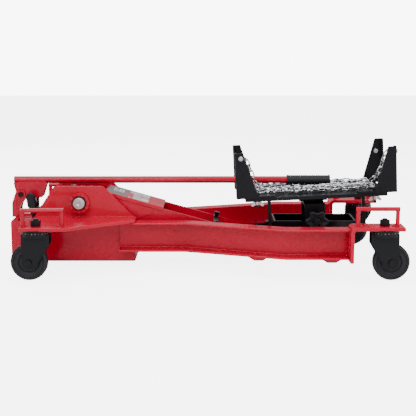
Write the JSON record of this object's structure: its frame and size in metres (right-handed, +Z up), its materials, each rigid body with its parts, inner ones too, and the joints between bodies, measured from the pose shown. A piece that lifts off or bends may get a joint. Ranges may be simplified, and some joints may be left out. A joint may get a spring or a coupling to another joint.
{
  "type": "low-lift transmission jack",
  "caption": "Low-profile rolling workshop jack with a hydraulic lift arm, a levelled head and a tilting saddle with corner posts and a retaining chain.",
  "frame": {"origin": "on the floor, under the middle of the jack's outline", "axes": "+X towards the saddle end, +Y to the left of someone at the handle end who faces the saddle, +Z up"},
  "size_m": [1.129, 0.542, 0.3565],
  "materials": {
    "red_paint": "gloss red enamel",
    "black_paint": "satin black powder coat",
    "black_rubber": "moulded black rubber",
    "black_plastic": "moulded black plastic",
    "zinc_steel": "zinc plated steel",
    "chromed_steel": "bright chrome plate"
  },
  "bodies": {
    "root": {"side_plate_right": "red_paint", "side_plate_left": "red_paint", "housing_tray": "red_paint", "rail_right": "red_paint", "rail_left": "red_paint", "cross_member_rear": "red_paint", "cross_member_front": "red_paint", "front_bracket_right": "red_paint", "front_bracket_left": "red_paint", "rear_plate_right": "red_paint", "rear_plate_left": "red_paint", "guard_front_right": "red_paint", "guard_front_left": "red_paint", "guard_rear_right": "red_paint", "guard_rear_left": "red_paint", "fulcrum_stand": "red_paint", "pump_body": "red_paint", "ram_cylinder": "red_paint", "caster_front_right_mount": "black_paint", "caster_front_left_mount": "black_paint", "caster_rear_right_mount": "black_paint", "caster_rear_left_mount": "black_paint", "pivot_shaft": "zinc_steel", "handle_bolt": "black_paint", "link_anchor": "black_paint"},
    "handle": {"handle": "red_paint", "handle_grip": "black_rubber"},
    "plunger": {"pump_plunger": "chromed_steel"},
    "arm": {"lift_arm": "red_paint", "arm_cover": "red_paint", "arm_crank": "black_paint", "head_pin": "zinc_steel"},
    "roller": {"crank_roller": "zinc_steel"},
    "link": {"parallel_link": "black_paint"},
    "ram_rod": {"ram_rod": "chromed_steel"},
    "release_knob": {"release_knob": "black_plastic"},
    "cradle": {"cradle_tray": "black_paint"},
    "tilt": {"tilt_bracket": "black_paint", "tilt_pin": "zinc_steel"},
    "star_knob": {"star_knob": "black_plastic"},
    "saddle": {"saddle_plate": "black_paint", "level_bar_rear": "black_paint", "level_bar_front": "black_paint", "retaining_chain": "chromed_steel"},
    "post_rear_right": {"post_rear_right": "black_paint"},
    "wing_nut_rear_right": {"wing_nut_rear_right": "zinc_steel"},
    "post_rear_left": {"post_rear_left": "black_paint"},
    "wing_nut_rear_left": {"wing_nut_rear_left": "zinc_steel"},
    "post_front_right": {"post_front_right": "black_paint"},
    "wing_nut_front_right": {"wing_nut_front_right": "zinc_steel"},
    "post_front_left": {"post_front_left": "black_paint"},
    "wing_nut_front_left": {"wing_nut_front_left": "zinc_steel"},
    "caster_front_right": {"caster_front_right_fork": "black_paint"},
    "wheel_front_right": {"caster_front_right_wheel": "black_rubber"},
    "caster_front_left": {"caster_front_left_fork": "black_paint"},
    "wheel_front_left": {"caster_front_left_wheel": "black_rubber"},
    "caster_rear_right": {"caster_rear_right_fork": "black_paint"},
    "wheel_rear_right": {"caster_rear_right_wheel": "black_rubber"},
    "caster_rear_left": {"caster_rear_left_fork": "black_paint"},
    "wheel_rear_left": {"caster_rear_left_wheel": "black_rubber"}
  },
  "joints": [
    {"name": "handle_lift", "type": "hinge", "parent": "root", "child": "handle", "pos_m": [-0.5375, 0, 0.2046], "axis": [0, -1, 0], "range_deg": [0, 80]},
    {"name": "plunger_slide", "type": "slide", "parent": "root", "child": "plunger", "axis": [0, 0, 1], "range_m": [0, 0.023]},
    {"name": "arm_lift", "type": "hinge", "parent": "root", "child": "arm", "pos_m": [-0.3565, 0, 0.191], "axis": [0, -1, 0], "range_deg": [0, 62.1]},
    {"name": "link_swing", "type": "hinge", "parent": "root", "child": "link", "pos_m": [-0.3845, 0, 0.219], "axis": [0, -1, 0], "range_deg": [0, 62.1]},
    {"name": "ram_slide", "type": "slide", "parent": "root", "child": "ram_rod", "axis": [1, 0, 0], "range_m": [0, 0.078]},
    {"name": "head_level", "type": "hinge", "parent": "arm", "child": "cradle", "pos_m": [0.218, 0, 0.084], "axis": [0, -1, 0], "range_deg": [-62.1, 0]},
    {"name": "roller_spin", "type": "hinge", "parent": "arm", "child": "roller", "pos_m": [-0.39513, 0, 0.12671], "axis": [0, 1, 0], "continuous": true},
    {"name": "release_turn", "type": "hinge", "parent": "root", "child": "release_knob", "pos_m": [-0.496, -0.045, 0.1367], "axis": [-0.1392, 0, 0.9903], "range_deg": [0, 270]},
    {"name": "saddle_pitch", "type": "hinge", "parent": "cradle", "child": "tilt", "pos_m": [0.324, 0, 0.138], "axis": [0, -1, 0], "range_deg": [-6, 6]},
    {"name": "star_knob_turn", "type": "hinge", "parent": "tilt", "child": "star_knob", "pos_m": [0.324, 0, 0.138], "axis": [0, 1, 0], "continuous": true},
    {"name": "saddle_roll", "type": "hinge", "parent": "tilt", "child": "saddle", "pos_m": [0.32136, 0, 0.19294], "axis": [0.9988, 0, 0.048], "range_deg": [-6, 6]},
    {"name": "post_rear_right_slide", "type": "slide", "parent": "saddle", "child": "post_rear_right", "axis": [-0.9988, 0, -0.048], "range_m": [0, 0.018]},
    {"name": "wing_nut_rear_right_turn", "type": "hinge", "parent": "post_rear_right", "child": "wing_nut_rear_right", "pos_m": [0.15332, -0.095, 0.18987], "axis": [-0.048, 0, 0.9988], "continuous": true},
    {"name": "post_rear_left_slide", "type": "slide", "parent": "saddle", "child": "post_rear_left", "axis": [-0.9988, 0, -0.048], "range_m": [0, 0.018]},
    {"name": "wing_nut_rear_left_turn", "type": "hinge", "parent": "post_rear_left", "child": "wing_nut_rear_left", "pos_m": [0.15332, 0.095, 0.18987], "axis": [-0.048, 0, 0.9988], "continuous": true},
    {"name": "post_front_right_slide", "type": "slide", "parent": "saddle", "child": "post_front_right", "axis": [0.9988, 0, 0.048], "range_m": [0, 0.018]},
    {"name": "wing_nut_front_right_turn", "type": "hinge", "parent": "post_front_right", "child": "wing_nut_front_right", "pos_m": [0.48893, -0.095, 0.20599], "axis": [-0.048, 0, 0.9988], "continuous": true},
    {"name": "post_front_left_slide", "type": "slide", "parent": "saddle", "child": "post_front_left", "axis": [0.9988, 0, 0.048], "range_m": [0, 0.018]},
    {"name": "wing_nut_front_left_turn", "type": "hinge", "parent": "post_front_left", "child": "wing_nut_front_left", "pos_m": [0.48893, 0.095, 0.20599], "axis": [-0.048, 0, 0.9988], "continuous": true},
    {"name": "caster_front_right_swivel", "type": "hinge", "parent": "root", "child": "caster_front_right", "pos_m": [0.4935, -0.23, 0.13], "axis": [0, 0, 1], "continuous": true},
    {"name": "wheel_front_right_spin", "type": "hinge", "parent": "caster_front_right", "child": "wheel_front_right", "pos_m": [0.5135, -0.23, 0.051], "axis": [0, 1, 0], "continuous": true},
    {"name": "caster_front_left_swivel", "type": "hinge", "parent": "root", "child": "caster_front_left", "pos_m": [0.4935, 0.23, 0.13], "axis": [0, 0, 1], "continuous": true},
    {"name": "wheel_front_left_spin", "type": "hinge", "parent": "caster_front_left", "child": "wheel_front_left", "pos_m": [0.47496, 0.23749, 0.051], "axis": [-0.3746, -0.9272, 0], "continuous": true},
    {"name": "caster_rear_right_swivel", "type": "hinge", "parent": "root", "child": "caster_rear_right", "pos_m": [-0.4585, -0.23, 0.13], "axis": [0, 0, 1], "continuous": true},
    {"name": "wheel_rear_right_spin", "type": "hinge", "parent": "caster_rear_right", "child": "wheel_rear_right", "pos_m": [-0.4785, -0.23, 0.051], "axis": [0, -1, 0], "continuous": true},
    {"name": "caster_rear_left_swivel", "type": "hinge", "parent": "root", "child": "caster_rear_left", "pos_m": [-0.4585, 0.23, 0.13], "axis": [0, 0, 1], "continuous": true},
    {"name": "wheel_rear_left_spin", "type": "hinge", "parent": "caster_rear_left", "child": "wheel_rear_left", "pos_m": [-0.4785, 0.23, 0.051], "axis": [0, -1, 0], "continuous": true}
  ],
  "couplings": [
    {"joint": "plunger_slide", "follows": "handle_lift", "m_per_rad": 0.016},
    {"joint": "arm_lift", "follows": "handle_lift", "ratio": 0.775},
    {"joint": "link_swing", "follows": "handle_lift", "ratio": 0.775},
    {"joint": "head_level", "follows": "handle_lift", "ratio": -0.775},
    {"joint": "ram_slide", "follows": "handle_lift", "m_per_rad": 0.0552}
  ]
}
